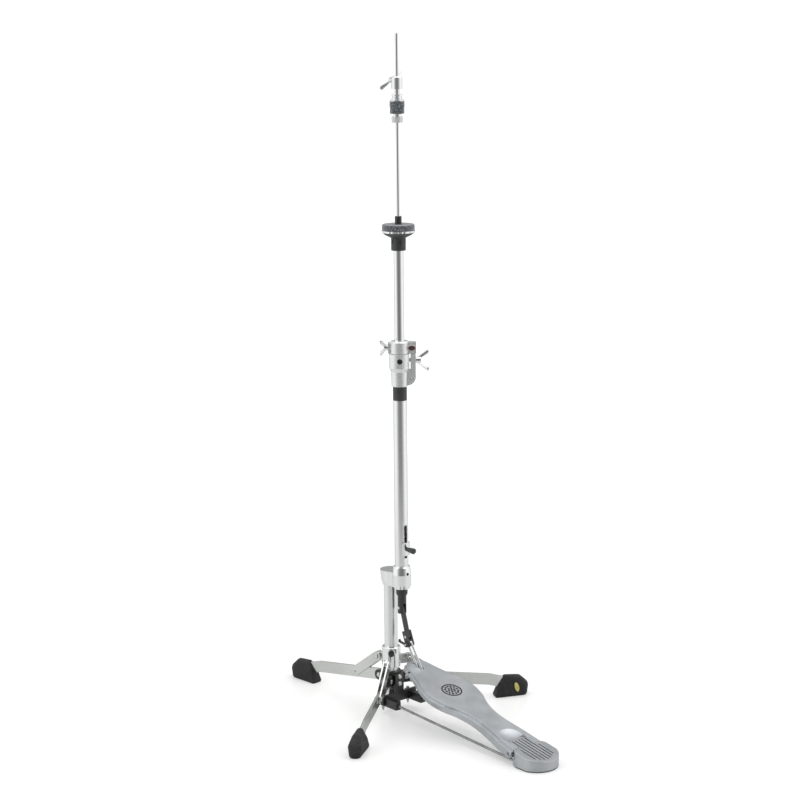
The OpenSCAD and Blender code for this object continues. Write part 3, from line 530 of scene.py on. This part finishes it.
def add_board_grip():
    place = sloped_frame(HEEL_HINGE, BOARD_SLOPE)
    middle = Vector((0, GRIP_AT, DECK_TOP))
    mesh_data = bmesh.new()
    dot = [(DOT_RADIUS, -GRIP_SINK)]
    dot += [(across * DOT_RADIUS, up * GRIP_HEIGHT) for across, up in DOT_DOME]
    for reach, count in DOT_RINGS:
        for angle in round_angles(count):
            centre = middle + Vector((reach * math.cos(angle), reach * math.sin(angle), 0))
            join_rings(mesh_data, turned_rings(mesh_data, place, centre, dot, DOT_TURNS), closed=False)
    inner, outer = GRIP_RING
    bevel = (outer - inner) * RING_BEVEL
    shoulder = RING_SHOULDER * GRIP_HEIGHT
    ring = [(outer, -GRIP_SINK), (outer, shoulder), (outer - bevel, GRIP_HEIGHT),
            (inner + bevel, GRIP_HEIGHT), (inner, shoulder), (inner, -GRIP_SINK)]
    join_rings(mesh_data, turned_rings(mesh_data, place, middle, ring, RING_TURNS), closed=True)
    add_piece("board_grip", finish_mesh("board_grip", mesh_data), rubber, "pedal")


add_board_grip()


# Heel plate: dark strips in the rubber look lying in its grooves, as painted shade for the shade in the
# grooves, in a frame at its top front edge
HEEL_SLOPE = math.radians(10)
HEEL_FRONT = Vector((0, -9.5, 9)) * MM
HEEL_LENGTH = 54 * MM
TONGUE_LENGTH = 25.5 * MM
GROOVE_PITCH = 6.4 * MM
GROOVE_WIDTH = 2.6 * MM
GROOVES_EACH_SIDE = 3
FRONT_MARGIN = 4 * MM
BACK_MARGIN_MM = 7
STRIP_GAP = 0.15 * MM
STRIP_LOW = -1.5 * MM
STRIP_TOP = -0.3 * MM
STRIP_CROWN = 0.25 * MM
STRIP_INSET = 0.3 * MM
STRIP_END_STEPS = 12


def back_margin(groove):
    """How far a groove stops from the plate's round back, growing toward its sides."""
    return (BACK_MARGIN_MM + groove * groove) * MM


def add_strip(mesh_data, place, middle, back, front):
    """One strip with round ends and a crowned top."""
    radius = GROOVE_WIDTH / 2 - STRIP_GAP
    outline = []
    for end, start in ((front - radius, 0), (back + radius, math.pi)):
        for i in range(STRIP_END_STEPS + 1):
            angle = start + math.pi * i / STRIP_END_STEPS
            outline.append((middle + radius * math.cos(angle), end + radius * math.sin(angle)))
    centre = Vector((middle, (front + back) / 2))
    rings = []
    for inset, height in ((0, STRIP_LOW), (0, STRIP_TOP - STRIP_CROWN), (STRIP_INSET, STRIP_TOP)):
        ring = []
        for x, y in outline:
            inward = (centre - Vector((x, y))).normalized() * inset
            ring.append(mesh_data.verts.new(place @ Vector((x + inward.x, y + inward.y, height))))
        rings.append(ring)
    join_rings(mesh_data, rings, closed=False)


def add_heel_groove_painted_shade():
    place = sloped_frame(HEEL_HINGE + HEEL_FRONT, HEEL_SLOPE)
    mesh_data = bmesh.new()
    for groove in range(-GROOVES_EACH_SIDE, GROOVES_EACH_SIDE + 1):
        on_tongue = abs(groove) < GROOVES_EACH_SIDE
        front = TONGUE_LENGTH - FRONT_MARGIN if on_tongue else -FRONT_MARGIN
        back = -HEEL_LENGTH + back_margin(groove)
        add_strip(mesh_data, place, groove * GROOVE_PITCH, back + STRIP_GAP, front - STRIP_GAP)
    # The strips are painted shade: dark sheets laid where the grooves are only shaded.
    add_piece("heel_groove_painted_shade", finish_mesh("heel_strips", mesh_data), rubber, "stand")


add_heel_groove_painted_shade()


# Return spring: its foot stays on the seat block; the real spring's head goes down with the pull rod,
# but this coil is fixed in place
SPRING_FOOT = 291.3 * MM
SPRING_HEAD = 352.7 * MM
SPRING_RADIUS = 6.9 * MM
SPRING_WIRE = 0.88 * MM
SPRING_TURNS = 8
TURN_STEPS = 40
WIRE_SIDES = 10
DEAD_PITCH = 1.9 * MM


def spring_height(turn):
    """Height of the wire after this many turns; the first and last turns lie closed."""
    low, high = SPRING_FOOT + SPRING_WIRE, SPRING_HEAD - SPRING_WIRE
    open_pitch = (high - low - 2 * DEAD_PITCH) / (SPRING_TURNS - 2)
    if turn < 1:
        return low + DEAD_PITCH * turn
    if turn > SPRING_TURNS - 1:
        return high - DEAD_PITCH * (SPRING_TURNS - turn)
    return low + DEAD_PITCH + open_pitch * (turn - 1)


def spring_mesh():
    mesh_data = bmesh.new()
    rings = []
    for i in range(SPRING_TURNS * TURN_STEPS + 1):
        angle = 2 * math.pi * i / TURN_STEPS
        outward = Vector((math.cos(angle), math.sin(angle), 0))
        middle = SPRING_RADIUS * outward + Vector((0, 0, spring_height(i / TURN_STEPS)))
        spots = [middle + SPRING_WIRE * (math.cos(-around) * outward
                                         + math.sin(-around) * Vector((0, 0, 1)))
                 for around in round_angles(WIRE_SIDES)]
        rings.append([mesh_data.verts.new(spot) for spot in spots])
    join_rings(mesh_data, rings, closed=False)
    return finish_mesh("coil_spring", mesh_data)


def add_spring():
    spring = dressed_object("coil_spring", spring_mesh(), plated)
    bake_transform(spring)
    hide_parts("return_spring")


add_spring()


# Small ovals that follow the surface under them; a ring is (share of its width, share of its rise)
PAD_RINGS = [(1.0, -0.6), (1.0, 0.45), (0.95, 0.8), (0.85, 1.0),
             (0.74, 0.72), (0.5, 0.7), (0.25, 0.7), (0.02, 0.7)]
RIM_RINGS = [(1.0, -0.6), (1.0, 0.7), (0.97, 1.0), (0.87, 1.0), (0.84, 0.7), (0.84, -0.6)]
FACE_RINGS = [(0.83, -0.6), (0.83, 0.5), (0.78, 0.75), (0.5, 0.85), (0.02, 0.9)]
OVAL_TURNS = 48
PROBE_HEIGHT = 10 * MM


class Oval:
    """Where an oval lies on a CAD node: its middle, facing, half widths, lean and rise."""

    def __init__(self, under, at, face, half, lean, rise):
        self.under = nodes[under]
        self.at = at
        self.face = face
        self.rise = rise
        self.side = Matrix.Rotation(lean, 3, face) @ Vector((0, 0, 1)).cross(face).normalized()
        self.tall = face.cross(self.side)
        self.half = half

    def rings(self, mesh_data, profile):
        """Rings of vertices, each point raised from the node's surface below it."""
        surface = BVHTree.FromObject(self.under, bpy.context.evaluated_depsgraph_get())
        to_world = self.under.matrix_world
        to_local = to_world.inverted()
        wide, high = self.half
        rings = []
        for scale, height in profile:
            ring = []
            for angle in round_angles(OVAL_TURNS):
                spread = wide * math.cos(angle) * self.side + high * math.sin(angle) * self.tall
                start = to_local @ (self.at + scale * spread + PROBE_HEIGHT * self.face)
                hit = surface.ray_cast(start, to_local.to_3x3() @ -self.face)[0]
                ring.append(mesh_data.verts.new(to_world @ hit + height * self.rise * self.face))
            rings.append(ring)
        return rings


def add_oval(name, oval, profile, closed, look, body):
    mesh_data = bmesh.new()
    join_rings(mesh_data, oval.rings(mesh_data, profile), closed)
    add_piece(name, finish_mesh(name, mesh_data), look, body)


# Right boot: a plain yellow oval on its outer side
boot_oval = Oval(under="foot_right", at=Vector((191.8, -72.8, 16.0)) * MM,
                 face=Vector((-0.467, -0.879, 0.099)).normalized(),
                 half=(3.7 * MM, 8.2 * MM), lean=math.radians(13), rise=0.5 * MM)
add_oval("boot_oval", boot_oval, PAD_RINGS, False, yellow, "leg_r")

# Memory lock: a black plate with a red rim on its plain badge
BADGE_TURN = math.radians(-40)
badge_oval = Oval(under="memory_lock_ring",
                  at=Matrix.Rotation(BADGE_TURN, 3, "Z") @ Vector((19.4, -10.4, 613.9)) * MM,
                  face=Vector((math.sin(BADGE_TURN), -math.cos(BADGE_TURN), 0)),
                  half=(5.7 * MM, 3.8 * MM), lean=0, rise=0.35 * MM)
add_oval("badge_rim", badge_oval, RIM_RINGS, True, red, "memory_lock")
add_oval("badge_plate", badge_oval, FACE_RINGS, False, plastic, "memory_lock")


# ---------- studio ----------

FLOOR_RADIUS = 1.15
FLOOR_SIDES = 96
FLOOR_DROP = 0.3 * MM
FLOOR_LIFT = 0.33
BACKDROP_WHITE = 1.15
SOFTBOX_AIM = Vector((0, -0.1, 0.4))
# How bright the studio is, from the photographer's side round to the far side: (degrees, brightness)
STUDIO_ROUND = [(0, 0.20), (26, 0.24), (48, 0.62), (68, 1.10),
                (112, 1.04), (136, 0.78), (162, 0.52), (180, 0.40)]
# Sockets of a colour Mix node
MIX_FACTOR, MIX_FIRST, MIX_SECOND, MIX_RESULT = 0, 6, 7, 2


def add_floor():
    """A pale floor; the camera sees it lifted to the backdrop's white, and the stand doesn't."""
    mesh_data = bmesh.new()
    bmesh.ops.create_circle(mesh_data, cap_ends=True, segments=FLOOR_SIDES, radius=FLOOR_RADIUS)
    mesh = finish_mesh("floor", mesh_data)
    look = Look("studio_floor", (0.74, 0.745, 0.735))
    look.vary_roughness(scale=6, low=0.16, high=0.28)
    look.set(Emission_Color=(1, 1, 1, 1))
    glow = look.between(look.camera_sees(), low=0, high=FLOOR_LIFT, start=0, end=1)
    look.link(glow, look.shader.inputs["Emission Strength"])
    mesh.materials.append(look.material)
    floor = place_object("floor", mesh)
    floor.location.z = -FLOOR_DROP


def add_world():
    """A white studio, seen by the metal with a soft dark side where the photographer stands."""
    world = bpy.data.worlds.new("studio")
    bpy.context.scene.world = world
    world.use_nodes = True
    shading = Shading(world.node_tree)
    split = shading.node("ShaderNodeSeparateXYZ")
    shading.link(shading.node("ShaderNodeTexCoord").outputs["Generated"], split.inputs["Vector"])

    def along(x, y):
        """How far the direction goes along (x, y)."""
        return shading.compute("ADD", shading.compute("MULTIPLY", split.outputs["X"], x),
                               shading.compute("MULTIPLY", split.outputs["Y"], y))

    toward_x, toward_y = math.sin(CAMERA_AZIMUTH), -math.cos(CAMERA_AZIMUTH)
    turned = shading.compute("ARCTAN2", along(-toward_y, toward_x), along(toward_x, toward_y))
    share = shading.compute("DIVIDE", shading.compute("ABSOLUTE", turned), math.pi)
    around = shading.ramp(share, [(degrees / 180, gray(level)) for degrees, level in STUDIO_ROUND])
    mix = shading.node("ShaderNodeMix", data_type="RGBA")
    shading.link(shading.camera_sees(), mix.inputs[MIX_FACTOR])
    shading.link(around, mix.inputs[MIX_FIRST])
    mix.inputs[MIX_SECOND].default_value = (*gray(BACKDROP_WHITE), 1)
    shading.link(mix.outputs[MIX_RESULT], shading.tree.nodes["Background"].inputs["Color"])


def add_softbox(name, size, power, place):
    data = bpy.data.lights.new(name, "AREA")
    data.size = size
    data.energy = power
    light = place_object(name, data)
    light.location = place
    light.rotation_euler = (SOFTBOX_AIM - Vector(place)).to_track_quat("-Z", "Y").to_euler()


add_floor()
add_world()
add_softbox("overhead", size=3.8, power=46, place=(0.4, -0.4, 3.0))
add_softbox("side", size=1.4, power=10, place=(-2.4, 0.2, 1.7))
bpy.context.scene.view_settings.view_transform = "Standard"
